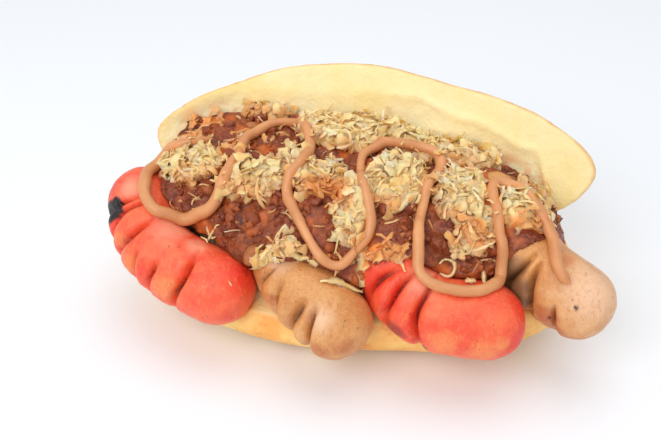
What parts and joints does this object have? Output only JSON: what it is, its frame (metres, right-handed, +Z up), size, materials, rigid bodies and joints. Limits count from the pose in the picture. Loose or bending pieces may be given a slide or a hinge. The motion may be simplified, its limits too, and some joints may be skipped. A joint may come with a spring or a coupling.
{
  "type": "loaded hot dog in a split roll",
  "caption": "Split bread roll opened like a book and filled with scored sausages, meat sauce, sauerkraut and a looping line of mustard.",
  "frame": {"origin": "centre of the flat spot under the roll, on the table", "axes": "+X along the roll, from the end with the charred sausage to the other; +Y from the open side to the hinge; +Z up"},
  "size_m": [0.2071, 0.1179, 0.0932],
  "materials": {
    "bun": "soft bread crumb, matt, with a thin baked crust",
    "red_skin": "satin cooked skin",
    "brown_skin": "satin cooked skin",
    "meat_sauce": "oily and glossy",
    "sauerkraut": "moist and translucent"
  },
  "bodies": {
    "root": {"bun": "bun", "red_sausage_left": "red_skin", "brown_sausage_left": "brown_skin", "red_sausage_right": "red_skin", "brown_sausage_right": "brown_skin", "meat_sauce": "meat_sauce", "sauerkraut": "sauerkraut"}
  },
  "joints": []
}
